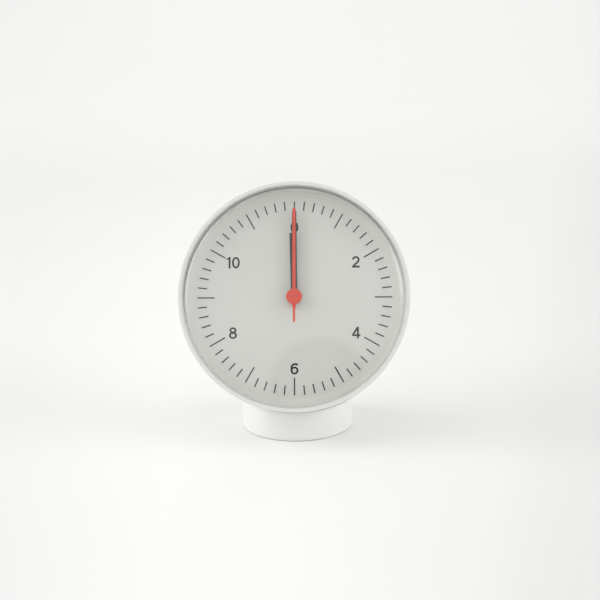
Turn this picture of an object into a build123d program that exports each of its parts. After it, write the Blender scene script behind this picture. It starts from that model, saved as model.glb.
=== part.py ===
"""Table clock: a drum-shaped quartz clock that leans back on a short round foot.

Row frame: millimetres, +Z up, the table at Z = 0, the foot's axis on the Z axis, the dial facing -Y.
Pieces of the drum are drawn from two planes that lean back with it: `drum`, which lies in the front of the
rim with its normal out towards the viewer, and `side`, which holds the drum's axis, for turned profiles.
A "level" is a distance along the drum's axis from the rim's front, so everything behind the rim is negative.
"""

import os
from math import acos, cos, pi, radians, sin, tan

from build123d import *

# ---------------------------------------------------------------- driving dimensions
lean = 20.0  # the dial's backward lean, degrees
rim_forward = 20.0  # rim centre in front of the foot's axis
rim_height = 73.4  # rim centre above the table

drum_radius = 57.5
rim_round = 0.25
wall = 2.1
window_radius = 54.7
bore_radius = 55.0  # of the lip round the window
foot_radius = 28.5
foot_top = 24.0

# levels along the drum's axis
lip_back = -3.4
flange_back = -5.2
ring_front = -5.3
dial_face = -9.0
dial_back = -9.8
carrier_back = -11.8
parting = -14.0
back_wall_inside = -29.6
back_face = -32.0

# dial layout
mark_height = 0.08
mark_outer = 48.9
minute_mark_inner = 44.2
hour_mark_inner = 40.2
mark_width = 0.6
numeral_radius = 35.6
numeral_height = 5.8
stroke = 0.92

# movement layout, in the drum plane from the hand arbor
battery_centre = -20.4
battery_radius = 7.1
battery_level = -20.3
movement_half = 28.0
movement_bottom = -29.2
housing_floor = -13.0
plate_front = -16.7
plate_back = -17.5
housing_back = -24.6
cover_back = -25.8
train_wall = 1.2
post_spots = [(x, y) for x in (-24.2, 24.2) for y in (-8.4, 24.2)]
case_screw_reach = 33.9
case_screw_sides = (-case_screw_reach, case_screw_reach)
case_screw_spots = [(x, y) for x in case_screw_sides for y in case_screw_sides]

# gear train: (teeth, module)
cannon_teeth, motion_teeth, motion_pinion_teeth, hour_teeth = 15, 45, 12, 48
motion_module = 0.36
seconds_pinion_teeth, third_teeth, third_pinion_teeth, centre_teeth = 10, 75, 10, 80
third_module = 0.24
seconds_teeth, intermediate_pinion_teeth, intermediate_teeth, rotor_pinion_teeth = 60, 12, 60, 10
seconds_module = 0.22
intermediate_module = 0.20

motion_distance = motion_module * (cannon_teeth + motion_teeth) / 2
third_distance = third_module * (seconds_pinion_teeth + third_teeth) / 2
centre_module = 2 * third_distance / (third_pinion_teeth + centre_teeth)
intermediate_distance = seconds_module * (seconds_teeth + intermediate_pinion_teeth) / 2
rotor_distance = intermediate_module * (intermediate_teeth + rotor_pinion_teeth) / 2

motion_direction = 150.0
third_direction = 15.0
intermediate_direction = 85.0
rotor_direction = 110.0


def polar(distance, degrees, start=(0.0, 0.0)):
    """A point at a distance and direction from another."""
    return (start[0] + distance * cos(radians(degrees)), start[1] + distance * sin(radians(degrees)))


motion_spot = polar(motion_distance, motion_direction)
third_spot = polar(third_distance, third_direction)
intermediate_spot = polar(intermediate_distance, intermediate_direction)
rotor_spot = polar(rotor_distance, rotor_direction, intermediate_spot)

# bores and arbors
seconds_arbor = 0.6
cannon_bore = 0.72
cannon_tube = 1.65
hour_bore = 1.72
hour_tube = 2.6
motion_arbor = 1.2
fit = 0.01  # radial room of a pressed fit
running = 0.06  # radial room of a running fit

# knob and its well in the back
knob_radius = 6.0
well_radius = 11.3
well_floor = -27.6

# battery hatch in the back
hatch_width, hatch_height = 58.0, 19.4
bay_width, bay_height = 54.4, 15.8

# ---------------------------------------------------------------- planes
outward = (0.0, -cos(radians(lean)), sin(radians(lean)))
drum = Plane(origin=(0, -rim_forward, rim_height), x_dir=(1, 0, 0), z_dir=outward)
side = Plane(origin=drum.origin, x_dir=(1, 0, 0), z_dir=-drum.y_dir)
drum_axis = Axis(drum.origin, drum.z_dir)
fixing_level = -23.0
fixing = Plane(origin=drum.from_local_coords((0, 0, fixing_level)), x_dir=(1, 0, 0), z_dir=drum.y_dir)
fixing_spots = [(-8.0, 0.0), (8.0, 0.0)]
fixing_seat = -62.0  # where the heads bear, along the fixing plane's normal


def level(height):
    """The plane parallel to the dial at a level."""
    return drum.offset(height)


def save(builder, name):
    """Names a finished piece and writes its STEP file."""
    builder.part.label = name
    export_step(builder.part, f"parts/{name}.step")


def disc(radius, start, end, spots=((0, 0),), mode=Mode.ADD):
    """Round slabs between two levels, at points of the drum plane."""
    with BuildSketch(level(start)) as outline:
        with Locations(*spots):
            Circle(radius)
    extrude(outline.sketch, amount=end - start, mode=mode)


def slab(x, y, start, end, mode=Mode.ADD):
    """A rectangular block between two levels; x and y are (low, high) in the drum plane."""
    with BuildSketch(level(start)) as outline:
        with Locations(((x[0] + x[1]) / 2, (y[0] + y[1]) / 2)):
            Rectangle(x[1] - x[0], y[1] - y[0])
    extrude(outline.sketch, amount=end - start, mode=mode)


def turned(points, mode=Mode.ADD):
    """A solid turned about the drum's axis from a closed outline of (radius, level) points."""
    with BuildSketch(side) as outline:
        with BuildLine():
            Polyline(*points, close=True)
        make_face()
    revolve(outline.sketch, axis=drum_axis, mode=mode)


def screws(bearing, spots, shank, length, head, height):
    """Cross-head screws: the heads bear on a plane and the shanks run along its normal."""
    with BuildSketch(bearing) as shanks:
        with Locations(*spots):
            Circle(shank)
    extrude(shanks.sketch, amount=length)
    with BuildSketch(bearing) as heads:
        with Locations(*spots):
            Circle(head)
    extrude(heads.sketch, amount=-height)
    with BuildSketch(bearing.offset(-height)) as recess:
        with Locations(*spots):
            Rectangle(head * 1.2, head * 0.25)
            Rectangle(head * 0.25, head * 1.2)
    extrude(recess.sketch, amount=height * 0.55, mode=Mode.SUBTRACT)


# ---------------------------------------------------------------- gears
pressure_angle = radians(20)
addendum, dedendum, backlash = 0.8, 1.05, 0.12


def involute(angle):
    return tan(angle) - angle


def gear_outline(teeth, module, phase):
    """Points round a gear with thinned involute teeth, one tooth centred at phase degrees."""
    pitch = module * teeth / 2
    base = pitch * cos(pressure_angle)
    half_at_pitch = pi / (2 * teeth) * (1 - backlash)

    def half_thickness(radius):
        at_radius = 0.0 if radius <= base else involute(acos(base / radius))
        return half_at_pitch + involute(pressure_angle) - at_radius

    root, tip = pitch - dedendum * module, pitch + addendum * module
    flank = [(radius, half_thickness(radius)) for radius in (root, pitch, tip)]
    points = []
    for tooth in range(teeth):
        centre = radians(phase) + 2 * pi * tooth / teeth
        for radius, half in flank:
            points.append((radius * cos(centre - half), radius * sin(centre - half)))
        for radius, half in reversed(flank):
            points.append((radius * cos(centre + half), radius * sin(centre + half)))
    return points


def gear(teeth, module, phase, start, end, spot=(0, 0)):
    """A toothed slab between two levels, centred on a point of the drum plane."""
    with BuildSketch(level(start)) as outline:
        with Locations(spot):
            Polygon(*gear_outline(teeth, module, phase), align=None)
    extrude(outline.sketch, amount=end - start)


def facing_gap(direction, teeth):
    """The phase that turns a gap towards the mating gear, which lies opposite to direction."""
    return direction + 180 + 180 / teeth


# ---------------------------------------------------------------- case
def make_front_case():
    with BuildPart() as front_case:
        inside = drum_radius - wall
        with BuildSketch(side):
            with BuildLine():
                Polyline((inside, parting), (drum_radius, parting), (drum_radius, -rim_round))
                RadiusArc((drum_radius, -rim_round), (drum_radius - rim_round, 0), -rim_round)
                Polyline(
                    (drum_radius - rim_round, 0),
                    (drum_radius - 1.65, 0),
                    (drum_radius - 1.95, -0.3),
                    (bore_radius, lip_back + 0.3),
                    (bore_radius, lip_back),
                    (inside, lip_back),
                    (inside, parting),
                )
            make_face()
        revolve(axis=drum_axis)
        groove_floor = inside + 0.35
        turned([(inside - 0.1, -12.8), (groove_floor, -12.8), (groove_floor, -13.4), (inside - 0.1, -13.4)],
               Mode.SUBTRACT)
    save(front_case, "front_case")


def dome(radius, shoulder, crown, base, mode):
    """A low dome with a straight side and a rolled shoulder, down to a base level."""
    side_top = -1.5
    top = (radius - shoulder, side_top + shoulder)
    rolled = (radius - shoulder * (1 - cos(pi / 4)), side_top + shoulder * sin(pi / 4))
    with BuildSketch(side) as outline:
        with BuildLine():
            Line((0, base), (0, crown))
            ThreePointArc((0, crown), (top[0] / 2, crown - (crown - top[1]) * 0.25), top)
            ThreePointArc(top, rolled, (radius, side_top))
            Polyline((radius, side_top), (radius, base), (0, base))
        make_face()
    revolve(outline.sketch, axis=drum_axis, mode=mode)


def make_lens():
    """Clear domed window with a flange that the case lip holds."""
    shoulder, crown, thickness = 4.3, 4.1, 1.9
    with BuildPart() as lens:
        dome(window_radius, shoulder, crown, flange_back, Mode.ADD)
        disc(55.35, flange_back, lip_back)
        dome(window_radius - thickness, shoulder - thickness, crown - thickness, flange_back, Mode.SUBTRACT)
    save(lens, "lens")


def make_spacer_ring():
    with BuildPart() as spacer_ring:
        turned([(54.2, ring_front), (55.2, ring_front), (55.2, dial_face), (54.5, dial_face)])
    save(spacer_ring, "spacer_ring")


def case_outline(radius, back, corner):
    """Half outline of a drum that is closed behind, from the parting line to the axis."""
    Line((radius, parting - 0.3), (radius, back + corner))
    RadiusArc((radius, back + corner), (radius - corner, back), corner)
    Line((radius - corner, back), (0, back))


def make_rear_case():
    inside = drum_radius - wall
    tongue_inside, tongue_outside, tongue_front = 53.6, 55.3, -12.1
    corner = 6.0
    with BuildPart() as rear_case:
        with BuildSketch(side):
            with BuildLine():
                case_outline(drum_radius, back_face, corner)
                Line((0, back_face), (0, back_wall_inside))
                Line((0, back_wall_inside), (inside - corner + wall, back_wall_inside))
                RadiusArc(
                    (inside - corner + wall, back_wall_inside),
                    (inside, back_wall_inside + corner - wall),
                    -(corner - wall),
                )
                Polyline(
                    (inside, back_wall_inside + corner - wall),
                    (inside, -17.5),
                    (tongue_inside, -15.7),
                    (tongue_inside, tongue_front),
                    (tongue_outside - 0.4, tongue_front),
                    (tongue_outside, -12.5),
                    (tongue_outside, -12.95),
                    (tongue_outside + 0.3, -13.05),
                    (tongue_outside + 0.3, -13.2),
                    (tongue_outside, -13.35),
                    (tongue_outside, parting - 0.3),
                    (drum_radius, parting - 0.3),
                )
            make_face()
        revolve(axis=drum_axis)

        # posts that clamp the carrier, counterbored from behind
        disc(4.6, back_wall_inside - 1, -18.0, case_screw_spots)
        disc(3.2, back_face, -26.0, case_screw_spots, Mode.SUBTRACT)
        disc(1.7, -26.0, -18.0, case_screw_spots, Mode.SUBTRACT)

        # well round the setting knob
        disc(well_radius + 1.2, back_wall_inside - 1, well_floor + 1.2, [motion_spot])
        disc(well_radius, back_face, well_floor, [motion_spot], Mode.SUBTRACT)
        disc(motion_arbor + 0.3, well_floor, well_floor + 1.2, [motion_spot], Mode.SUBTRACT)

        # battery hatch: a through opening with a stepped seat for its door, and a thumb scoop
        half_w, half_h = bay_width / 2, bay_height / 2
        slab((-half_w, half_w), (battery_centre - half_h, battery_centre + half_h), back_face,
             back_wall_inside, Mode.SUBTRACT)
        with BuildSketch(level(back_face)):
            with Locations((0, battery_centre)):
                RectangleRounded(hatch_width, hatch_height, 2.5)
        extrude(amount=1.35, mode=Mode.SUBTRACT)
        disc(6.0, back_face, back_face + 1.35, [(0, battery_centre + hatch_height / 2)], Mode.SUBTRACT)

        # bosses that take the foot's fixing screws
        with BuildSketch(fixing.offset(-55.8)):
            with Locations(*fixing_spots):
                Circle(3.6)
        extrude(amount=9.8)
        with BuildSketch(fixing.offset(-58)):
            with Locations(*fixing_spots):
                Circle(1.5 + fit)
        extrude(amount=11, mode=Mode.SUBTRACT)
    save(rear_case, "rear_case")


def make_case_screws():
    with BuildPart() as case_screws:
        screws(level(-26.0), case_screw_spots, 1.5, 13.0, 2.8, 2.2)
    save(case_screws, "case_screws")


def make_battery_door():
    play = 0.15
    with BuildPart() as battery_door:
        with BuildSketch(level(back_face)):
            with Locations((0, battery_centre)):
                RectangleRounded(hatch_width - 2 * play, hatch_height - 2 * play, 2.5 - play)
        extrude(amount=1.3)
        chamfer(battery_door.faces().sort_by(drum_axis)[0].edges(), 0.25)
        # skirt that locates the door in the opening
        width, height = bay_width - 0.8, bay_height - 0.8
        with BuildSketch(level(back_face + 1.3)):
            with Locations((0, battery_centre)):
                Rectangle(width, height)
                Rectangle(width - 2.4, height - 2.4, mode=Mode.SUBTRACT)
        extrude(amount=1.6)
        # finger ribs on the outside
        with BuildSketch(level(back_face)):
            with Locations(*[(0, battery_centre + 6.4 - 1.5 * i) for i in range(3)]):
                SlotOverall(14, 0.7)
        extrude(amount=0.35, mode=Mode.SUBTRACT)
    save(battery_door, "battery_door")


# ---------------------------------------------------------------- dial
def make_dial():
    with BuildPart() as dial:
        disc(55.2, dial_back, dial_face)
        disc(3.2, dial_back, dial_face, mode=Mode.SUBTRACT)
    save(dial, "dial")


def make_marks(name, steps, inner):
    """Printed strokes round the dial; steps are minutes."""
    length = mark_outer - inner
    with BuildPart() as marks:
        with BuildSketch(level(dial_face)):
            for minute in steps:
                middle = polar((mark_outer + inner) / 2, 90 - 6 * minute)
                with Locations(Location((*middle, 0), (0, 0, -6 * minute))):
                    Rectangle(mark_width, length)
        extrude(amount=mark_height)
    save(marks, name)


top = numeral_height / 2
path_top = top - stroke / 2


def digit_0():
    with BuildSketch() as digit:
        Ellipse(1.98, top)
        Ellipse(1.98 - stroke, top - stroke, mode=Mode.SUBTRACT)
    return digit.sketch


def digit_1():
    flag = [(-0.5, 1.55), (-1.55, 1.55), (-1.55, 2.1), (-0.85, 2.3), (-0.4, top), (-0.4, 0.5), (-0.5, 0.5)]
    with BuildSketch() as digit:
        with Locations((-0.03, 0)):
            Rectangle(stroke, numeral_height)
        Polygon(*flag, align=None)
    return digit.sketch


def digit_2():
    with BuildSketch() as digit:
        with BuildLine():
            head = ThreePointArc((-1.42, 1.15), (0.02, path_top), (1.42, 1.2))
            neck = Spline((1.42, 1.2), (0.5, -0.45), (-1.42, -path_top), tangents=(head % 1, (-0.8, -1)))
        trace(line_width=stroke)
        with Locations((0, -path_top)):
            Rectangle(3.8, stroke)
    return digit.sketch


def digit_4():
    diagonal = [(0.3, top), (1.25, top), (-1.05, -1.0), (-2.1, -1.0)]
    with BuildSketch() as digit:
        with Locations((0.79, 0)):
            Rectangle(stroke, numeral_height)
        with Locations((-0.05, -1.3)):
            Rectangle(4.1, 0.84)
        Polygon(*diagonal, align=None)
    return digit.sketch


def digit_6():
    with BuildSketch() as digit:
        with BuildLine():
            Spline((-1.5, -0.98), (-0.95, 1.72), (1.45, 1.6), tangents=((0, 1), (0.45, -1)))
        trace(line_width=stroke)
        with Locations((0, -0.98)):
            Ellipse(1.95, 1.92)
            Ellipse(1.95 - stroke, 1.92 - stroke * 0.9, mode=Mode.SUBTRACT)
    return digit.sketch


def digit_8():
    with BuildSketch() as digit:
        with Locations((0, 1.38)):
            Ellipse(1.72, 1.52)
        with Locations((0, -1.2)):
            Ellipse(2.0, 1.7)
        with Locations((0, 1.42)):
            Ellipse(0.85, 0.7, mode=Mode.SUBTRACT)
        with Locations((0, -1.2)):
            Ellipse(1.08, 0.86, mode=Mode.SUBTRACT)
    return digit.sketch


def make_numerals():
    shift = 1.85
    layout = [
        (0, [(digit_0(), 0)]),
        (2, [(digit_2(), 0)]),
        (4, [(digit_4(), 0)]),
        (6, [(digit_6(), 0)]),
        (8, [(digit_8(), 0)]),
        (10, [(digit_1(), -shift), (digit_0(), shift - 0.55)]),
    ]
    with BuildPart() as numerals:
        for hour, digits in layout:
            x, y = polar(numeral_radius, 90 - 30 * hour)
            for digit, offset in digits:
                with BuildSketch(level(dial_face)):
                    with Locations((x + offset, y)):
                        add(digit)
                extrude(amount=mark_height)
    save(numerals, "numerals")


def make_dial_carrier():
    """Moulded disc behind the dial; four bosses behind it take the case screws."""
    with BuildPart() as dial_carrier:
        disc(55.2, carrier_back, dial_back)
        disc(4.0, -17.8, carrier_back, case_screw_spots)
        disc(1.5 + fit, -17.8, -12.6, case_screw_spots, Mode.SUBTRACT)
        disc(3.4, carrier_back, dial_back, mode=Mode.SUBTRACT)
        disc(1.0 + fit, carrier_back, -10.7, post_spots, Mode.SUBTRACT)
    save(dial_carrier, "dial_carrier")


# ---------------------------------------------------------------- hands
def blade(start_width, tip_width, length, turn, front, thickness):
    """A straight tapered hand with a square tip, from the arbor outwards."""
    start, tip = start_width / 2, tip_width / 2
    outline = [(-start, 0), (start, 0), (tip, length), (-tip, length)]
    with BuildSketch(level(front - thickness)) as shape:
        with Locations(Location((0, 0, 0), (0, 0, turn))):
            Polygon(*outline, align=None)
    extrude(shape.sketch, amount=thickness)


def make_hour_hand():
    with BuildPart() as hour_hand:
        blade(3.3, 2.8, 32.5, 1.8, -7.2, 0.4)
        disc(3.7, -7.6, -7.2)
        disc(hour_tube + fit, -7.6, -7.2, mode=Mode.SUBTRACT)
    save(hour_hand, "hour_hand")


def make_minute_hand():
    with BuildPart() as minute_hand:
        blade(3.1, 2.1, 43.6, 0.0, -5.8, 0.4)
        disc(2.9, -6.2, -5.8)
        disc(cannon_tube + fit, -6.2, -5.8, mode=Mode.SUBTRACT)
    save(minute_hand, "minute_hand")


def make_second_hand():
    with BuildPart() as second_hand:
        blade(1.6, 1.45, 44.6, 0.0, -4.2, 0.4)
        blade(1.15, 1.1, 12.6, 180.0, -4.2, 0.4)
        blade(4.6, 1.1, 6.4, 180.0, -4.2, 0.4)
        disc(3.95, -4.6, -3.8)
        fillet(second_hand.faces().sort_by(drum_axis)[-1].edges(), 0.25)
        disc(1.4, -5.4, -4.6)
        disc(seconds_arbor + fit, -5.4, -4.1, mode=Mode.SUBTRACT)
    save(second_hand, "second_hand")


# ---------------------------------------------------------------- movement
def make_movement_housing():
    """Tray for the gear train with the battery bay under it; open to the rear."""
    half_width, roof = movement_half, movement_half
    bay_back = -29.3
    divider = (-12.7, -11.2)
    with BuildPart() as movement_housing:
        with BuildSketch(level(housing_back)):
            with Locations((0, (roof + divider[0]) / 2)):
                RectangleRounded(2 * half_width, roof - divider[0], 3)
        extrude(amount=carrier_back - housing_back)
        slab((-half_width, half_width), (movement_bottom, divider[1]), bay_back, carrier_back)
        inner = half_width - train_wall
        slab((-inner, inner), (divider[1], roof - train_wall), housing_back, housing_floor, Mode.SUBTRACT)
        bay = (movement_bottom + train_wall, divider[0])
        slab((-inner, inner), bay, bay_back, housing_floor, Mode.SUBTRACT)

        # posts for the cover screws, pillars under the train plate and the stator
        disc(2.4, housing_back, housing_floor, post_spots)
        disc(1.0 + 0.1, housing_back, carrier_back, post_spots, Mode.SUBTRACT)
        disc(1.6, plate_front, housing_floor, pillar_spots)
        disc(0.8, plate_back + 0.1, plate_front, pillar_spots)
        disc(1.3, stator_front, housing_floor, stator_pillar_spots)

        # bearings
        disc(hour_tube + running, housing_floor, carrier_back, mode=Mode.SUBTRACT)
        disc(0.6 + running, housing_floor, housing_floor + 0.6, [motion_spot], Mode.SUBTRACT)
    save(movement_housing, "movement_housing")


pillar_spots = [(-19.5, -7.5), (19.5, -7.5), (-19.5, 19.0), (19.5, 19.0)]
stator_pillar_spots = [(-12.3, 24.9), (12.3, 24.9)]
coil_centre_y, coil_level = 21.4, -21.0
stator_front, stator_back = -21.6, -22.4
arbor_end = -25.1


def make_train_plate():
    with BuildPart() as train_plate:
        with BuildSketch(level(plate_back)):
            with Locations((0, 6.0)):
                RectangleRounded(42.6, 30.8, 2)
            with Locations(*pillar_spots):
                Circle(0.8 + fit, mode=Mode.SUBTRACT)
            with Locations((0, 0)):
                Circle(seconds_arbor + running, mode=Mode.SUBTRACT)
            with Locations(motion_spot):
                Circle(motion_arbor + 0.1, mode=Mode.SUBTRACT)
            with Locations(third_spot):
                Circle(0.5 + running, mode=Mode.SUBTRACT)
            with Locations(intermediate_spot, rotor_spot):
                Circle(0.4 + running, mode=Mode.SUBTRACT)
        extrude(amount=plate_front - plate_back)
    save(train_plate, "train_plate")


def make_movement_cover():
    with BuildPart() as movement_cover:
        with BuildSketch(level(cover_back)):
            with Locations((0, (movement_half - 11.1) / 2)):
                RectangleRounded(2 * movement_half, movement_half + 11.1, 3)
            with Locations(*post_spots):
                Circle(1.1, mode=Mode.SUBTRACT)
            with Locations(motion_spot):
                Circle(motion_arbor + running, mode=Mode.SUBTRACT)
        extrude(amount=housing_back - cover_back)
        disc(seconds_arbor + running, arbor_end - 0.1, housing_back, mode=Mode.SUBTRACT)
        disc(0.5 + running, arbor_end - 0.1, housing_back, [third_spot], Mode.SUBTRACT)
        disc(0.4 + running, arbor_end - 0.1, housing_back, [intermediate_spot, rotor_spot], Mode.SUBTRACT)
    save(movement_cover, "movement_cover")


def make_movement_screws():
    with BuildPart() as movement_screws:
        screws(level(cover_back), post_spots, 1.0, 15.0, 2.0, 1.3)
    save(movement_screws, "movement_screws")


# wheels, front to back
hour_layer = (-14.0, -13.2)
motion_layer = (-15.1, -14.3)
centre_layer = (-16.2, -15.5)
third_layer = (-18.6, -17.9)
seconds_layer = (-19.8, -19.1)
intermediate_layer = (-20.9, -20.2)
pinion_margin = 0.08


def longer(layer):
    """A pinion's layer: a little longer than its wheel's at each end."""
    return layer[0] - pinion_margin, layer[1] + pinion_margin


def make_hour_wheel():
    with BuildPart() as hour_wheel:
        gear(hour_teeth, motion_module, facing_gap(motion_direction + 180, hour_teeth), *hour_layer)
        disc(hour_tube, hour_layer[0], -7.1)
        disc(hour_bore, hour_layer[0], -7.1, mode=Mode.SUBTRACT)
    save(hour_wheel, "hour_wheel")


def make_cannon_pinion():
    with BuildPart() as cannon_pinion:
        gear(cannon_teeth, motion_module, motion_direction, *longer(motion_layer))
        disc(cannon_tube, -16.4, -5.7)
        disc(cannon_bore, -16.4, -5.7, mode=Mode.SUBTRACT)
    save(cannon_pinion, "cannon_pinion")


def make_motion_wheel():
    """Reduction wheel between the minute and hour hands, on the knob's arbor."""
    with BuildPart() as motion_wheel:
        phase = facing_gap(motion_direction, motion_teeth)
        gear(motion_teeth, motion_module, phase, *motion_layer, motion_spot)
        gear(motion_pinion_teeth, motion_module, motion_direction + 180, motion_layer[0], -13.12,
             motion_spot)
        disc(motion_arbor, -30.2, -13.2, [motion_spot])
        disc(0.6, -13.3, -12.5, [motion_spot])
    save(motion_wheel, "motion_wheel")


def make_centre_wheel():
    with BuildPart() as centre_wheel:
        phase = facing_gap(third_direction + 180, centre_teeth)
        gear(centre_teeth, centre_module, phase, *centre_layer)
        disc(2.5, -16.4, centre_layer[0])
        disc(cannon_tube + fit, -16.4, centre_layer[1], mode=Mode.SUBTRACT)
        disc(1.5, *centre_layer, [polar(5.6, 60 + 90 * i) for i in range(4)], Mode.SUBTRACT)
    save(centre_wheel, "centre_wheel")


def make_third_wheel():
    with BuildPart() as third_wheel:
        phase = facing_gap(third_direction, third_teeth)
        gear(third_teeth, third_module, phase, *third_layer, third_spot)
        disc(1.4, *third_layer, [polar(5.4, 45 + 90 * i, third_spot) for i in range(4)], Mode.SUBTRACT)
        gear(third_pinion_teeth, centre_module, third_direction + 180, *longer(centre_layer), third_spot)
        disc(0.5, arbor_end, centre_layer[1], [third_spot])
    save(third_wheel, "third_wheel")


def make_seconds_wheel():
    with BuildPart() as seconds_wheel:
        phase = facing_gap(intermediate_direction + 180, seconds_teeth)
        gear(seconds_teeth, seconds_module, phase, *seconds_layer)
        disc(1.1, *seconds_layer, [polar(4.0, 30 + 90 * i) for i in range(4)], Mode.SUBTRACT)
        gear(seconds_pinion_teeth, third_module, third_direction, seconds_layer[1], longer(third_layer)[1])
        disc(seconds_arbor, arbor_end, -4.15)
    save(seconds_wheel, "seconds_wheel")


def make_intermediate_wheel():
    with BuildPart() as intermediate_wheel:
        phase = facing_gap(rotor_direction + 180, intermediate_teeth)
        gear(intermediate_teeth, intermediate_module, phase, *intermediate_layer, intermediate_spot)
        pinion_end = longer(seconds_layer)[1]
        gear(intermediate_pinion_teeth, seconds_module, intermediate_direction + 180, intermediate_layer[1],
             pinion_end, intermediate_spot)
        disc(0.4, arbor_end, plate_front - 0.1, [intermediate_spot])
    save(intermediate_wheel, "intermediate_wheel")


def make_rotor():
    with BuildPart() as rotor_pinion:
        layer = longer(intermediate_layer)
        gear(rotor_pinion_teeth, intermediate_module, rotor_direction + 180, *layer, rotor_spot)
        disc(0.4, arbor_end, plate_front - 0.1, [rotor_spot])
    save(rotor_pinion, "rotor_pinion")
    with BuildPart() as rotor_magnet:
        disc(2.8, -23.3, -21.3, [rotor_spot])
        disc(0.4 + fit, -23.3, -21.3, [rotor_spot], Mode.SUBTRACT)
    save(rotor_magnet, "rotor_magnet")


def make_setting_knob():
    with BuildPart() as setting_knob:
        disc(knob_radius, -31.6, -27.9, [motion_spot])
        fillet(setting_knob.faces().sort_by(drum_axis)[0].edges(), 0.5)
        # grip flutes round the edge and a dished end
        flutes = [polar(knob_radius + 0.35, 12 * i, motion_spot) for i in range(30)]
        disc(0.6, -31.6, -27.9, flutes, Mode.SUBTRACT)
        disc(4.2, -31.6, -31.1, [motion_spot], Mode.SUBTRACT)
        disc(motion_arbor + fit, -30.25, -27.9, [motion_spot], Mode.SUBTRACT)
    save(setting_knob, "setting_knob")


# ---------------------------------------------------------------- motor and electronics
def across(x):
    """The plane square to the drum's X direction at x; its Y is the dial's up direction."""
    return Plane(origin=drum.from_local_coords((x, 0, 0)), x_dir=drum.y_dir, z_dir=drum.x_dir)


def round_bar(x, centre, radius, mode=Mode.ADD):
    """A bar along X between two x positions; centre is (y, level)."""
    with BuildSketch(across(x[0])) as outline:
        with Locations(centre):
            Circle(radius)
    extrude(outline.sketch, amount=x[1] - x[0], mode=mode)


def flat_bar(x, centre, size, mode=Mode.ADD):
    """A rectangular bar along X; centre and size are (y, level)."""
    with BuildSketch(across(x[0])) as outline:
        with Locations(centre):
            Rectangle(*size)
    extrude(outline.sketch, amount=x[1] - x[0], mode=mode)


coil_centre = (coil_centre_y, coil_level)


def make_coil():
    reel, flange, core_width, core_depth = 8.4, 0.8, 1.8, 1.2
    with BuildPart() as coil_bobbin:
        round_bar((-reel, reel), coil_centre, 1.5)
        for x in (-reel - flange, reel):
            flat_bar((x, x + flange), coil_centre, (6.4, 6.0))
        flat_bar((-reel - flange, reel + flange), coil_centre, (core_width, core_depth), Mode.SUBTRACT)
    save(coil_bobbin, "coil_bobbin")
    with BuildPart() as coil_winding:
        round_bar((-reel + fit, reel - fit), coil_centre, 2.7)
        round_bar((-reel + fit, reel - fit), coil_centre, 1.5 + fit, Mode.SUBTRACT)
    save(coil_winding, "coil_winding")
    with BuildPart() as coil_core:
        flat_bar((-14, 14), coil_centre, (core_width - 2 * fit, core_depth - 2 * fit))
    save(coil_core, "coil_core")


def make_stator():
    """Two flat pole pieces that carry the coil's field round the rotor."""
    with BuildPart() as stator:
        with BuildSketch(level(stator_back)):
            with Locations((0, rotor_spot[1])):
                Rectangle(28, 2.8)
            with Locations((-12.3, 20.2), (12.3, 20.2)):
                Rectangle(3.4, 12.6)
            with Locations(rotor_spot):
                Circle(4.0)
                Circle(3.15, mode=Mode.SUBTRACT)
        extrude(amount=stator_front - fit - stator_back)
    save(stator, "stator")


def make_circuit():
    with BuildPart() as circuit_board:
        slab((13.0, 21.5), (-5.5, 16.0), housing_back, housing_back + 0.8)
    save(circuit_board, "circuit_board")
    with BuildPart() as quartz_crystal:
        with BuildSketch(Plane(origin=drum.from_local_coords((15.4, -4.5, -22.75)), x_dir=drum.x_dir,
                               z_dir=drum.y_dir)):
            Circle(1.02)
        extrude(amount=6.0)
    save(quartz_crystal, "quartz_crystal")
    with BuildPart() as timing_chip:
        disc(2.6, housing_back + 0.8, housing_back + 1.7, [(17.4, 8.0)])
        fillet(timing_chip.faces().sort_by(drum_axis)[-1].edges(), 0.6)
    save(timing_chip, "timing_chip")


# ---------------------------------------------------------------- battery
battery_spot = (battery_centre, battery_level)


def make_battery_cell():
    with BuildPart() as battery_cell:
        round_bar((-25.0, 24.3), battery_spot, battery_radius)
        fillet(battery_cell.edges().filter_by(GeomType.CIRCLE), 0.5)
        round_bar((24.3, 25.3), battery_spot, 2.75)
    save(battery_cell, "battery_cell")


def make_contacts():
    """Sprung strips at the two ends of the battery bay."""
    with BuildPart() as positive_contact:
        flat_bar((26.4, 26.78), battery_spot, (10, 12))
        round_bar((25.32, 26.4), battery_spot, 2.2)
    save(positive_contact, "positive_contact")
    with BuildPart() as negative_contact:
        flat_bar((-26.78, -26.4), battery_spot, (10, 12))
        for x, radius in ((-26.4, 4.2), (-25.95, 3.2), (-25.5, 2.2)):
            round_bar((x, x + 0.45), battery_spot, radius)
            round_bar((x, x + 0.45), battery_spot, radius - 0.7, Mode.SUBTRACT)
    save(negative_contact, "negative_contact")


# ---------------------------------------------------------------- foot
pad_top, plate_top = 1.2, 3.0
shell_bottom = 0.2
shell_wall = 2.5
plate_screw_spots = [(-20.5, 9.0), (20.5, 9.0), (0.0, -22.0)]
weight_spot = (0.0, 11.5)


def swollen_drum(margin, mode):
    """The drum's outline grown by a margin, as a solid."""
    corner = 6.0 + margin
    radius, back = drum_radius + margin, back_face - margin
    with BuildSketch(side) as outline:
        with BuildLine():
            Line((0, 2), (radius, 2))
            Line((radius, 2), (radius, back + corner))
            RadiusArc((radius, back + corner), (radius - corner, back), corner)
            Polyline((radius - corner, back), (0, back), (0, 2))
        make_face()
    revolve(outline.sketch, axis=drum_axis, mode=mode)


def upright(spots, radius, start, end, mode=Mode.ADD):
    """Vertical round pillars between two heights above the table."""
    with BuildSketch(Plane.XY.offset(start)) as outline:
        with Locations(*spots):
            Circle(radius)
    extrude(outline.sketch, amount=end - start, mode=mode)


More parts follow.
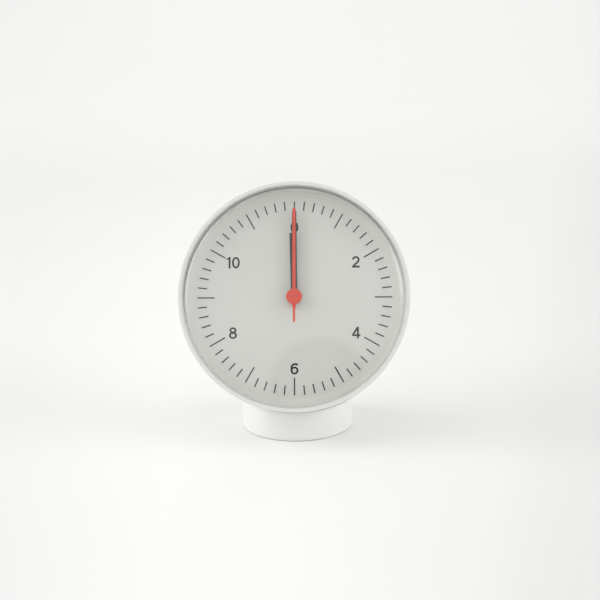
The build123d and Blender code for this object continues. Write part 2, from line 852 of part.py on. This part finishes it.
def make_base_shell():
    """Round foot with the drum's seat cut out of its upper front."""
    with BuildPart() as hollow:
        upright([(0, 0)], foot_radius - shell_wall, 0, foot_top - shell_wall)
        swollen_drum(0.1 + shell_wall, Mode.SUBTRACT)
        upright(plate_screw_spots, 3.0, plate_top, foot_top, Mode.SUBTRACT)
        with BuildSketch(fixing.offset(fixing_seat)):
            with Locations(*fixing_spots):
                Circle(4.0)
        extrude(amount=6, mode=Mode.SUBTRACT)
    with BuildPart() as base_shell:
        upright([(0, 0)], foot_radius, shell_bottom, foot_top)
        fillet(base_shell.faces().sort_by(Axis.Z)[-1].edges(), 1.6)
        chamfer(base_shell.faces().sort_by(Axis.Z)[0].edges(), 0.4)
        swollen_drum(0.1, Mode.SUBTRACT)
        add(hollow.part, mode=Mode.SUBTRACT)
        upright(plate_screw_spots, 1.25 + fit, plate_top, plate_top + 6.0, Mode.SUBTRACT)
        with BuildSketch(fixing.offset(fixing_seat)):
            with Locations(*fixing_spots):
                Circle(1.7)
        extrude(amount=8, mode=Mode.SUBTRACT)
    save(base_shell, "base_shell")


def make_base_fixing_screws():
    with BuildPart() as base_fixing_screws:
        screws(fixing.offset(fixing_seat), fixing_spots, 1.5, 14.0, 2.8, 2.0)
    save(base_fixing_screws, "base_fixing_screws")


def make_base_weight():
    with BuildPart() as base_weight:
        upright([weight_spot], 13.0, plate_top, 17.0)
        chamfer(base_weight.edges().filter_by(GeomType.CIRCLE), 0.5)
    save(base_weight, "base_weight")


def make_base_plate():
    with BuildPart() as base_plate:
        upright([(0, 0)], foot_radius - shell_wall - 0.1, pad_top, plate_top)
        upright(plate_screw_spots, 1.4, pad_top, plate_top, Mode.SUBTRACT)
        upright(plate_screw_spots, 2.4, pad_top, pad_top + 1.1, Mode.SUBTRACT)
    save(base_plate, "base_plate")


def make_base_plate_screws():
    with BuildPart() as base_plate_screws:
        screws(Plane.XY.offset(pad_top + 1.1), plate_screw_spots, 1.25, 6.0, 2.2, 1.0)
    save(base_plate_screws, "base_plate_screws")


def make_foot_pad():
    with BuildPart() as foot_pad:
        upright([(0, 0)], 25.0, 0, pad_top)
        fillet(foot_pad.faces().sort_by(Axis.Z)[0].edges(), 0.3)
    save(foot_pad, "foot_pad")


if __name__ == "__main__":
    os.makedirs("parts", exist_ok=True)
    make_front_case()
    make_lens()
    make_spacer_ring()
    make_rear_case()
    make_case_screws()
    make_battery_door()
    make_dial()
    make_marks("minute_marks", [m for m in range(60) if m % 5], minute_mark_inner)
    make_marks("hour_marks", range(0, 60, 5), hour_mark_inner)
    make_numerals()
    make_dial_carrier()
    make_hour_hand()
    make_minute_hand()
    make_second_hand()
    make_movement_housing()
    make_train_plate()
    make_movement_cover()
    make_movement_screws()
    make_hour_wheel()
    make_cannon_pinion()
    make_motion_wheel()
    make_centre_wheel()
    make_third_wheel()
    make_seconds_wheel()
    make_intermediate_wheel()
    make_rotor()
    make_setting_knob()
    make_coil()
    make_stator()
    make_circuit()
    make_battery_cell()
    make_contacts()
    make_base_shell()
    make_base_fixing_screws()
    make_base_weight()
    make_base_plate()
    make_base_plate_screws()
    make_foot_pad()
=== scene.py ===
"""Looks for the table clock: procedural materials, finer turned shells, soft studio light and the camera."""

import math

import bmesh
import bpy
from mathutils import Matrix, Vector


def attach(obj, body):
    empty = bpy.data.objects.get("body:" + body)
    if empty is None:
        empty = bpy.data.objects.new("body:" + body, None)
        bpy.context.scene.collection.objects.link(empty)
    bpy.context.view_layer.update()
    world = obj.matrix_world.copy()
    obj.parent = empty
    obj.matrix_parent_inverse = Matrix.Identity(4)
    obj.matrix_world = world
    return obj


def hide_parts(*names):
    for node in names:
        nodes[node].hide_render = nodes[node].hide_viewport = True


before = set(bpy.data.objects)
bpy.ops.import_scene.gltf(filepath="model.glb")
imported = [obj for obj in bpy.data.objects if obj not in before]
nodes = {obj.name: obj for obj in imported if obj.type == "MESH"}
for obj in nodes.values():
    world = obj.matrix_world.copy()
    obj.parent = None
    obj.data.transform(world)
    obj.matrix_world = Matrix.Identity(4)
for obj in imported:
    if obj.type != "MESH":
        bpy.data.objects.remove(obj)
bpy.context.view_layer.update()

# ---------------------------------------------------------------- the clock's own frame, in metres
LEAN = math.radians(20)
CENTRE = Vector((0, -0.020, 0.0734))
OUT = Vector((0, -math.cos(LEAN), math.sin(LEAN)))
UP = Vector((0, math.sin(LEAN), math.cos(LEAN)))
ACROSS = Vector((1, 0, 0))
DIAL = Matrix((ACROSS, UP, OUT)).transposed().to_4x4()
DIAL.translation = CENTRE
MM = 0.001


# ---------------------------------------------------------------- node helpers
class Tree:
    """A material's node tree, with short calls to add and join nodes."""

    def __init__(self, name):
        self.material = bpy.data.materials.new(name)
        self.material.use_nodes = True
        self.tree = self.material.node_tree
        self.tree.nodes.clear()
        self.output = self.tree.nodes.new("ShaderNodeOutputMaterial")
        self.where = self.tree.nodes.new("ShaderNodeTexCoord").outputs["Object"]

    def add(self, kind, inputs=(), **settings):
        node = self.tree.nodes.new("ShaderNode" + kind)
        for key, value in settings.items():
            setattr(node, key, value)
        for key, value in dict(inputs).items():
            self.put(node.inputs[key], value)
        return node

    def put(self, socket, value):
        if isinstance(value, bpy.types.NodeSocket):
            self.tree.links.new(value, socket)
        else:
            socket.default_value = value

    def noise(self, scale, detail=3.0, rough=0.55, where=None):
        node = self.add("TexNoise", {"Vector": where or self.where, "Scale": scale, "Detail": detail,
                                     "Roughness": rough})
        return node.outputs["Fac"]

    def ramp(self, value, stops):
        node = self.add("ValToRGB", {"Fac": value})
        ramp = node.color_ramp
        while len(ramp.elements) < len(stops):
            ramp.elements.new(0.5)
        for element, (position, colour) in zip(ramp.elements, stops):
            element.position = position
            element.color = (*colour, 1)
        return node.outputs["Color"]

    def span(self, value, low, high, out_low, out_high):
        node = self.add("MapRange", {"Value": value, "From Min": low, "From Max": high, "To Min": out_low,
                                     "To Max": out_high})
        return node.outputs["Result"]

    def math(self, operation, *values):
        node = self.add("Math", operation=operation)
        for socket, value in zip(node.inputs, values):
            self.put(socket, value)
        return node.outputs["Value"]

    def mix(self, factor, first, second):
        node = self.add("Mix", data_type="RGBA")
        self.put(node.inputs["Factor"], factor)
        self.put(node.inputs[6], first)
        self.put(node.inputs[7], second)
        return node.outputs[2]

    def bump(self, height, strength, distance):
        node = self.add("Bump", {"Height": height, "Strength": strength, "Distance": distance})
        return node.outputs["Normal"]

    def principled(self, **inputs):
        shader = self.add("BsdfPrincipled", {key.replace("_", " "): value for key, value in inputs.items()})
        return shader

    def finish(self, shader):
        self.put(self.output.inputs["Surface"], shader.outputs[0])
        return self.material


def rgba(*values):
    return (*values, 1.0)


def plastic(name, colour, roughness=0.38, grain=1800.0, depth=0.00001, shade=0.02, specular=0.5,
            scatter=0.0):
    """Moulded plastic: spark-eroded grain, slow drift of tone and gloss, and finer dust-like specks."""
    t = Tree(name)
    drift = t.noise(38.0, 2.0)
    fine = t.noise(grain, 2.0, 0.6)
    low = tuple(c * (1 - shade) for c in colour)
    high = tuple(min(c * (1 + shade), 1) for c in colour)
    tone = t.ramp(drift, [(0.3, low), (0.7, high)])
    gloss = t.span(t.noise(240.0, 4.0), 0.3, 0.7, roughness - 0.04, roughness + 0.05)
    normal = t.bump(fine, 0.35, depth)
    shader = t.principled(Base_Color=tone, Roughness=gloss, Normal=normal)
    shader.inputs["Specular IOR Level"].default_value = specular
    if scatter:
        shader.inputs["Subsurface Weight"].default_value = scatter
        shader.inputs["Subsurface Scale"].default_value = 0.002
        shader.inputs["Subsurface Radius"].default_value = (1.0, 0.9, 0.8)
    return t.finish(shader)


def metal(name, colour, roughness=0.3, brush=(1.0, 1.0, 40.0), scratch=600.0):
    """Metal with directional brushing, stains and fine scratches."""
    t = Tree(name)
    stretched = t.add("Mapping", {"Vector": t.where, "Scale": brush}).outputs["Vector"]
    lines = t.noise(scratch, 3.0, 0.6, stretched)
    stain = t.noise(150.0, 4.0)
    tone = t.mix(t.span(stain, 0.35, 0.75, 0.0, 0.35), rgba(*colour), rgba(*(c * 0.72 for c in colour)))
    gloss = t.span(lines, 0.3, 0.7, roughness - 0.08, roughness + 0.12)
    normal = t.bump(lines, 0.25, 0.00001)
    shader = t.principled(Base_Color=tone, Metallic=1.0, Roughness=gloss, Normal=normal)
    return t.finish(shader)


def acrylic(t, tint, mirror):
    """Acrylic skin: clear, with a mirror coat that strengthens at grazing angles."""
    clear = t.add("BsdfTransparent", {"Color": tint})
    gloss = t.add("BsdfGlossy", {"Color": rgba(1.0, 1.0, 1.0), "Roughness": 0.02})
    facing = t.add("LayerWeight", {"Blend": 0.5}).outputs["Facing"]
    grazing = t.math("POWER", facing, 5.0)
    share = t.math("MULTIPLY", t.math("ADD", t.math("MULTIPLY", grazing, 0.96), 0.04), mirror)
    blend = t.add("MixShader", {"Fac": share})
    t.put(blend.inputs[1], clear.outputs[0])
    t.put(blend.inputs[2], gloss.outputs[0])
    return t.finish(blend)


def clear_window(name, tint, mirror):
    return acrylic(Tree(name), rgba(*tint), mirror)


def window_side_painted_shade():
    """The window's edge: a dark tint painted on its upper half, painted shade standing for the shaded bore
    that the real edge bends the view into.
    """
    t = Tree("window_side_painted_shade")
    painted_shade_side = UP * math.cos(math.radians(12)) - ACROSS * math.sin(math.radians(12))
    along = t.add("VectorMath", {0: t.where, 1: painted_shade_side}, operation="DOT_PRODUCT").outputs["Value"]
    middle = CENTRE.dot(painted_shade_side)
    shade = t.span(along, middle - 0.004, middle + 0.030, 0.0, 1.0)
    # painted shade: the edge's tint turns from clear to dark across its upper half
    tint = t.mix(shade, rgba(0.97, 0.97, 0.97), rgba(0.08, 0.08, 0.08))
    return acrylic(t, tint, 0.6)


def dial_paint():
    """Matt printed dial: faint tooth, a slow drift of tone, and painted light: lighter towards its left and
    right sides, where more light comes in through the window's shoulder.
    """
    t = Tree("dial_paint")
    drift = t.noise(30.0, 2.0)
    tone = t.ramp(drift, [(0.3, (0.695, 0.695, 0.657)), (0.7, (0.72, 0.72, 0.682))])
    speck = t.noise(5200.0, 2.0, 0.7)
    tone = t.mix(t.span(speck, 0.62, 0.75, 0.0, 0.12), tone, rgba(0.45, 0.45, 0.43))
    # painted light: the dial lightens towards its left and right sides
    aside = t.math("ABSOLUTE", t.add("SeparateXYZ", {0: t.where}).outputs["X"])
    tone = t.mix(t.span(aside, 0.030, 0.054, 0.0, 1.0), tone, rgba(0.79, 0.79, 0.757))
    gloss = t.span(t.noise(900.0), 0.3, 0.7, 0.55, 0.68)
    normal = t.bump(t.noise(2600.0, 3.0), 0.3, 0.000008)
    shader = t.principled(Base_Color=tone, Roughness=gloss, Normal=normal)
    shader.inputs["Specular IOR Level"].default_value = 0.3
    return t.finish(shader)


def ink():
    """Screen print: slightly raised ink with soft uneven cover."""
    t = Tree("ink")
    cover = t.noise(3800.0, 3.0, 0.65)
    tone = t.ramp(cover, [(0.3, (0.013, 0.013, 0.012)), (0.75, (0.026, 0.026, 0.023))])
    normal = t.bump(cover, 0.4, 0.000012)
    shader = t.principled(Base_Color=tone, Roughness=0.55, Normal=normal)
    return t.finish(shader)


def painted(name, colour, roughness):
    """Thin satin paint on pressed sheet: fine orange peel and a little gloss drift."""
    t = Tree(name)
    peel = t.noise(1500.0, 3.0, 0.6)
    drift = t.noise(120.0, 3.0)
    low = tuple(c * 0.93 for c in colour)
    high = tuple(min(c * 1.05, 1) for c in colour)
    tone = t.ramp(drift, [(0.3, low), (0.7, high)])
    gloss = t.span(peel, 0.3, 0.7, roughness - 0.05, roughness + 0.06)
    shader = t.principled(Base_Color=tone, Roughness=gloss, Normal=t.bump(peel, 0.3, 0.000012))
    shader.inputs["Coat Weight"].default_value = 0.25
    shader.inputs["Coat Roughness"].default_value = 0.25
    return t.finish(shader)


def winding():
    """Enamelled wire laid side by side along the reel."""
    t = Tree("enamelled_wire")
    wave = t.add("TexWave", {"Vector": t.where, "Scale": 1300.0, "Distortion": 0.4, "Detail": 2.0},
                 wave_type="BANDS", bands_direction="X")
    turns = wave.outputs["Fac"]
    tone = t.ramp(turns, [(0.15, (0.16, 0.045, 0.015)), (0.7, (0.66, 0.25, 0.10))])
    gloss = t.span(t.noise(900.0), 0.3, 0.7, 0.24, 0.4)
    normal = t.bump(turns, 0.8, 0.00006)
    shader = t.principled(Base_Color=tone, Metallic=0.85, Roughness=gloss, Normal=normal)
    shader.inputs["Coat Weight"].default_value = 0.5
    return t.finish(shader)


def board():
    """Solder mask over etched tracks, with the glass weave just showing."""
    t = Tree("solder_mask")
    level = t.add("Mapping", {"Vector": t.where, "Rotation": (LEAN, 0, 0)}).outputs["Vector"]
    tracks = t.add("TexBrick", {"Vector": level, "Scale": 420.0, "Mortar Size": 0.035, "Mortar Smooth": 0.1})
    raised = t.math("MULTIPLY", tracks.outputs["Fac"], t.span(t.noise(260.0, 1.0), 0.47, 0.5, 0.0, 1.0))
    tone = t.mix(raised, rgba(0.012, 0.10, 0.045), rgba(0.05, 0.24, 0.10))
    weave = t.noise(2200.0, 2.0)
    tone = t.mix(t.span(weave, 0.4, 0.7, 0.0, 0.3), tone, rgba(0.02, 0.07, 0.035))
    shader = t.principled(Base_Color=tone, Roughness=t.span(weave, 0.3, 0.7, 0.22, 0.34),
                          Normal=t.bump(raised, 0.6, 0.00004))
    return t.finish(shader)


def cell():
    """A shrink sleeve in two plain colours between bare steel ends."""
    t = Tree("cell_sleeve")
    along = t.add("SeparateXYZ", {0: t.where}).outputs["X"]
    grain = t.noise(700.0, 3.0)
    soft = t.math("ADD", along, t.span(grain, 0.3, 0.7, -0.00004, 0.00004))
    band = t.mix(t.span(soft, 0.0146, 0.0147, 0.0, 1.0), rgba(0.035, 0.07, 0.15), rgba(0.56, 0.58, 0.60))
    stripe = t.math("MULTIPLY", t.span(soft, 0.0135, 0.0136, 0.0, 1.0),
                    t.span(soft, 0.0146, 0.0147, 1.0, 0.0))
    band = t.mix(stripe, band, rgba(0.72, 0.32, 0.05))
    ends = t.math("ADD", t.span(along, 0.0239, 0.0240, 0.0, 1.0), t.span(along, -0.0247, -0.0246, 1.0, 0.0))
    tone = t.mix(ends, band, rgba(0.70, 0.70, 0.71))
    shader = t.principled(Base_Color=tone, Metallic=ends, Roughness=t.span(grain, 0.3, 0.7, 0.22, 0.34),
                          Normal=t.bump(grain, 0.15, 0.000003))
    return t.finish(shader)


WHITE = plastic("white_foot", (0.80, 0.80, 0.782), 0.36, 1500.0, 0.000012, 0.012, 0.5, 0.35)
# painted shade: the drum and the foot are one white plastic; the drum's copy is made darker so its lip takes
# less of the lamps' light
DRUM_PAINTED_SHADE = plastic("white_drum_painted_shade", (0.72, 0.72, 0.705), 0.36, 1500.0, 0.000012, 0.012, 0.5, 0.35)
BLACK = plastic("black_moulding", (0.022, 0.022, 0.023), 0.5, 1200.0, 0.00002, 0.15)
ACETAL = plastic("acetal", (0.74, 0.73, 0.67), 0.42, 1400.0, 0.00001, 0.03, 0.5, 0.1)
# painted light: the spacer ring's grey is made lighter than the dial's, offsetting the shade it sits in
# under the lip
RING_GREY_PAINTED_LIGHT = plastic("ring_grey_painted_light", (0.86, 0.865, 0.83), 0.55, 1600.0, 0.00001, 0.02)
RUBBER = plastic("rubber", (0.60, 0.60, 0.585), 0.75, 900.0, 0.00004, 0.1, 0.3)
EPOXY = plastic("epoxy_blob", (0.018, 0.018, 0.02), 0.28, 500.0, 0.00004, 0.2)
FOIL = metal("zinc_screw", (0.66, 0.67, 0.69), 0.3)
IRON = metal("plain_iron", (0.40, 0.40, 0.41), 0.42, (40.0, 1.0, 1.0))
MAGNET = metal("sintered_magnet", (0.16, 0.16, 0.17), 0.5, (1.0, 1.0, 1.0), 1500.0)
INK = ink()
HAND_GREY = painted("hand_grey_paint", (0.045, 0.030, 0.032), 0.4)
TIN = metal("tinned_strip", (0.72, 0.71, 0.68), 0.26, (1.0, 30.0, 1.0))

PLAIN = {
    "front_case": DRUM_PAINTED_SHADE, "rear_case": DRUM_PAINTED_SHADE, "battery_door": DRUM_PAINTED_SHADE, "base_shell": WHITE, "setting_knob": DRUM_PAINTED_SHADE,
    "dial_carrier": BLACK, "movement_housing": BLACK, "movement_cover": BLACK, "base_plate": BLACK,
    "train_plate": ACETAL, "centre_wheel": ACETAL, "third_wheel": ACETAL, "seconds_wheel": ACETAL,
    "intermediate_wheel": ACETAL, "rotor_pinion": ACETAL, "cannon_pinion": ACETAL, "motion_wheel": ACETAL,
    "hour_wheel": ACETAL, "coil_bobbin": ACETAL, "spacer_ring": RING_GREY_PAINTED_LIGHT, "foot_pad": RUBBER,
    "timing_chip": EPOXY, "case_screws": FOIL, "movement_screws": FOIL, "base_fixing_screws": FOIL,
    "base_plate_screws": FOIL, "base_weight": IRON, "coil_core": IRON, "stator": IRON,
    "rotor_magnet": MAGNET,
    "quartz_crystal": TIN, "positive_contact": TIN, "negative_contact": TIN,
    "lens": clear_window("window_skin", (0.985, 0.988, 0.988), 1.0),
    "dial": dial_paint(), "minute_marks": INK, "hour_marks": INK, "numerals": INK,
    "hour_hand": HAND_GREY, "minute_hand": HAND_GREY,
    "second_hand": painted("signal_orange_paint", (0.73, 0.052, 0.022), 0.38),
    "coil_winding": winding(), "circuit_board": board(), "battery_cell": cell(),
}
for name, material in PLAIN.items():
    for slot in nodes[name].material_slots:
        slot.material = material


def smooth(obj, degrees=32):
    """Smooth shading that keeps edges sharper than an angle."""
    mesh = obj.data
    if mesh.has_custom_normals:
        mesh.attributes.remove(mesh.attributes["custom_normal"])
    mesh.set_sharp_from_angle(angle=math.radians(degrees))


for node in nodes.values():
    node.data.polygons.foreach_set("use_smooth", [True] * len(node.data.polygons))
    smooth(node)


def arc(centre, radius, start, end, steps=8):
    """Points on a circular arc, angles in degrees."""
    angles = [math.radians(start + (end - start) * i / steps) for i in range(steps + 1)]
    return [(centre[0] + radius * math.cos(a), centre[1] + radius * math.sin(a)) for a in angles]


def lathe(name, profile, stretches=(), segments=288):
    """A mesh turned about the dial's axis from a closed (radius, level) outline in millimetres.
    stretches counts the outline's segments that take material 0, then 1, and so on."""
    bm = bmesh.new()
    rings = []
    for radius, height in profile:
        if radius < 1e-6:
            rings.append([bm.verts.new(DIAL @ Vector((0, 0, height * MM)))])
            continue
        ring = []
        for i in range(segments):
            angle = 2 * math.pi * i / segments
            place = Vector((radius * math.cos(angle), radius * math.sin(angle), height)) * MM
            ring.append(bm.verts.new(DIAL @ place))
        rings.append(ring)
    changes = [sum(stretches[:k + 1]) for k in range(len(stretches))]
    for step, (first, second) in enumerate(zip(rings, rings[1:] + rings[:1])):
        if len(first) == 1 and len(second) == 1:
            continue
        for i in range(segments):
            j = (i + 1) % segments
            if len(first) == 1:
                corners = (first[0], second[j], second[i])
            elif len(second) == 1:
                corners = (first[i], first[j], second[0])
            else:
                corners = (first[i], first[j], second[j], second[i])
            bm.faces.new(corners).material_index = sum(step >= change for change in changes)
    bmesh.ops.recalc_face_normals(bm, faces=bm.faces)
    mesh = bpy.data.meshes.new(name)
    bm.to_mesh(mesh)
    bm.free()
    mesh.polygons.foreach_set("use_smooth", [True] * len(mesh.polygons))
    mesh.set_sharp_from_angle(angle=math.radians(32))
    obj = bpy.data.objects.new(name, mesh)
    bpy.context.collection.objects.link(obj)
    return obj


def stand_for(obj, node, body, slot, *materials):
    """Gives a piece its materials and puts it in a CAD node's place."""
    for material in materials:
        obj.data.materials.append(material)
    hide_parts(node)
    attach(obj, body)


# the window: same section as the CAD lens, with a finer shoulder
THICK, SIDE, SHOULDER, CROWN = 1.9, 54.7, 4.3, 4.1
SIDE_TOP, FLANGE_FRONT, FLANGE_BACK = -1.5, -3.4, -5.2
FLANGE = 55.35
CLEAR_SIDE = 1.0  # how far above the flange the clear skin stops and the darkened edge starts
CASE, CASE_INSIDE, CASE_BACK, BORE = 57.5, 55.4, -14.0, 55.0
LIP_INSIDE, BEVEL_FOOT = 55.85, FLANGE_FRONT + 0.3
RIM_ROUND, LIP_ROUND, BEVEL_ROUND = 0.25, 0.3, 0.2
GROOVE, GROOVE_FRONT, GROOVE_BACK = 55.75, -12.8, -13.4


def crown(radius, shoulder, top, steps=24):
    """The low dome from the axis to where the shoulder starts."""
    edge = (radius - shoulder, SIDE_TOP + shoulder)
    drop = top - edge[1]
    return [(edge[0] * i / steps, top - drop * (i / steps) ** 2) for i in range(steps)] + [edge]


face = crown(SIDE, SHOULDER, CROWN) + arc((SIDE - SHOULDER, SIDE_TOP), SHOULDER, 90, 0, 14)[1:]
face.append((SIDE, FLANGE_FRONT + CLEAR_SIDE))
edge = [(SIDE, FLANGE_FRONT), (FLANGE, FLANGE_FRONT), (FLANGE, FLANGE_BACK), (SIDE - THICK, FLANGE_BACK)]
back = crown(SIDE - THICK, SHOULDER - THICK, CROWN - THICK)
back += arc((SIDE - SHOULDER, SIDE_TOP), SHOULDER - THICK, 90, 0, 12)[1:]
window = lathe("window", face + edge + back[::-1], [len(face) - 1, 3])
stand_for(window, "lens", "clock", "clear_window", PLAIN["lens"], window_side_painted_shade(),
          clear_window("window_back", (0.985, 0.988, 0.988), 0.35))

# the front shell: small outer round, flat lip, steep bevel down to the window, snap groove behind
case = [(CASE_INSIDE, CASE_BACK), (CASE, CASE_BACK)]
case += arc((CASE - RIM_ROUND, -RIM_ROUND), RIM_ROUND, 0, 90, 6)
case += arc((LIP_INSIDE, -LIP_ROUND), LIP_ROUND, 90, 170, 5)
case += arc((BORE + BEVEL_ROUND, BEVEL_FOOT), BEVEL_ROUND, 170, 180, 2)
case += [(BORE, FLANGE_FRONT), (CASE_INSIDE, FLANGE_FRONT), (CASE_INSIDE, GROOVE_FRONT),
         (GROOVE, GROOVE_FRONT), (GROOVE, GROOVE_BACK), (CASE_INSIDE, GROOVE_BACK)]
stand_for(lathe("front_shell", case), "front_case", "clock", "white_abs", DRUM_PAINTED_SHADE)


# ---------------------------------------------------------------- stage, light and camera
def sweep(width, front, back, radius, height, steps=24):
    """A seamless paper sweep: a floor that curves up into a wall behind."""
    line = [(front, 0.0), (back - radius, 0.0)]
    for step in range(1, steps + 1):
        angle = math.pi / 2 * step / steps
        line.append((back - radius + radius * math.sin(angle), radius - radius * math.cos(angle)))
    line.append((back, height))
    vertices = [(side * width / 2, y, z) for y, z in line for side in (-1, 1)]
    faces = [(2 * i, 2 * i + 1, 2 * i + 3, 2 * i + 2) for i in range(len(line) - 1)]
    mesh = bpy.data.meshes.new("paper_sweep")
    mesh.from_pydata(vertices, [], faces)
    for polygon in mesh.polygons:
        polygon.use_smooth = True
    paper = bpy.data.objects.new("paper_sweep", mesh)
    bpy.context.collection.objects.link(paper)
    return paper


paper = sweep(8.0, -3.0, 2.4, 1.4, 3.0)


def paper_tone():
    """Matt paper with painted light and shade: painted light lighter far away, and painted shade darker
    towards both sides where the floor runs out of the light.
    """
    t = Tree("paper")
    tone = t.ramp(t.noise(6.0, 2.0), [(0.3, (0.875, 0.875, 0.870)), (0.7, (0.890, 0.890, 0.885))])
    place = t.add("SeparateXYZ", {0: t.where})
    depth = place.outputs["Y"]
    near = t.span(depth, 0.2, 1.0, 1.0, 0.25)
    aside = t.math("DIVIDE", place.outputs["X"], t.math("ADD", t.math("MAXIMUM", depth, -0.3), 0.55))
    # painted shade: the floor darkens towards the right side near the clock
    right_painted_shade = t.math("MULTIPLY", t.span(aside, 0.0, 0.25, 0.0, 1.0), near)
    tone = t.mix(right_painted_shade, tone, rgba(0.80, 0.80, 0.79))
    # painted shade: the paper darkens towards its far left and far right
    tone = t.mix(t.span(aside, -0.12, -0.28, 0.0, 1.0), tone, rgba(0.81, 0.81, 0.805))
    tone = t.mix(t.span(aside, 0.20, 0.29, 0.0, 1.0), tone, rgba(0.76, 0.76, 0.75))
    # painted light: the paper lightens far away
    tone = t.mix(t.span(depth, 0.5, 1.4, 0.0, 0.7), tone, rgba(0.97, 0.97, 0.965))
    normal = t.bump(t.noise(900.0), 0.1, 0.00002)
    return t.finish(t.principled(Base_Color=tone, Roughness=0.9, Normal=normal))


paper.data.materials.append(paper_tone())

world = bpy.data.worlds.new("studio")
bpy.context.scene.world = world
world.use_nodes = True
sky = world.node_tree
toward = sky.nodes.new("ShaderNodeTexCoord").outputs["Generated"]


def patch(direction, edge, core, outside, inside):
    """A soft round patch of the room in a direction: its value outside the edge and inside the core."""
    along = sky.nodes.new("ShaderNodeVectorMath")
    along.operation = "DOT_PRODUCT"
    sky.links.new(toward, along.inputs[0])
    along.inputs[1].default_value = direction
    room = sky.nodes.new("ShaderNodeMapRange")
    room.interpolation_type = "SMOOTHSTEP"
    for name, value in (("From Min", edge), ("From Max", core), ("To Min", outside), ("To Max", inside)):
        room.inputs[name].default_value = value
    sky.links.new(along.outputs["Value"], room.inputs["Value"])
    return room.outputs["Result"]


# a broad bright zone before the dial, and a dark patch that the window mirrors in its lower half
room_light = sky.nodes.new("ShaderNodeMath")
room_light.operation = "MULTIPLY"
sky.links.new(patch((0.0, -0.82, 0.572), 0.84, 0.95, 0.60, 1.0), room_light.inputs[0])
sky.links.new(patch((0.0035, -0.9586, 0.2847), 0.9945, 0.9967, 1.0, 0.0), room_light.inputs[1])
sky.links.new(room_light.outputs[0], sky.nodes["Background"].inputs["Strength"])
sky.nodes["Background"].inputs["Color"].default_value = rgba(1.0, 1.0, 0.985)


def area(name, place, aim, size, power, colour=(1.0, 1.0, 1.0)):
    """A soft rectangular lamp that looks at a point."""
    data = bpy.data.lights.new(name, "AREA")
    data.shape = "RECTANGLE"
    data.size, data.size_y = size
    data.energy = power
    data.color = colour
    lamp = bpy.data.objects.new(name, data)
    bpy.context.collection.objects.link(lamp)
    lamp.location = place
    lamp.rotation_euler = (Vector(aim) - Vector(place)).to_track_quat("-Z", "Y").to_euler()
    return lamp


area("left_window", (-1.5, -0.30, 0.80), (0, 0, 0.05), (1.5, 1.3), 12.1, (1.0, 1.0, 0.985))
area("left_rim", (-1.1, 0.08, 0.30), (0, 0, 0.03), (0.5, 0.6), 2.05)
area("right_rim", (1.1, 0.08, 0.30), (0, 0, 0.03), (0.5, 0.6), 1.5)
area("ceiling", (0.0, 0.6, 2.2), (0, 0.5, 0.0), (2.5, 2.5), 9.4)
area("right_window", (1.45, -0.45, 0.72), (0, 0, 0.06), (1.05, 0.8), 7.7, (0.95, 0.98, 1.0))

ELEVATION, AZIMUTH, ROLL = math.radians(13.679), math.radians(2.415), math.radians(-0.907)
DISTANCE = 0.5633
TARGET = Vector((0.00227, 0.0, 0.06617))
forward = -Vector((math.sin(AZIMUTH) * math.cos(ELEVATION), -math.cos(AZIMUTH) * math.cos(ELEVATION),
                   math.sin(ELEVATION)))
right = forward.cross(Vector((0, 0, 1))).normalized()
above = right.cross(forward)
turned_right = right * math.cos(ROLL) + above * math.sin(ROLL)
turned_above = above * math.cos(ROLL) - right * math.sin(ROLL)
camera = bpy.data.objects.new("camera", bpy.data.cameras.new("camera"))
bpy.context.collection.objects.link(camera)
camera.matrix_world = Matrix.LocRotScale(
    TARGET - forward * DISTANCE,
    Matrix((turned_right, turned_above, -forward)).transposed().to_quaternion(), None)
camera.data.sensor_width = 36.0
camera.data.lens = 66.0
camera.data.clip_start = 0.01
bpy.context.scene.camera = camera
bpy.context.scene.view_settings.view_transform = "Standard"
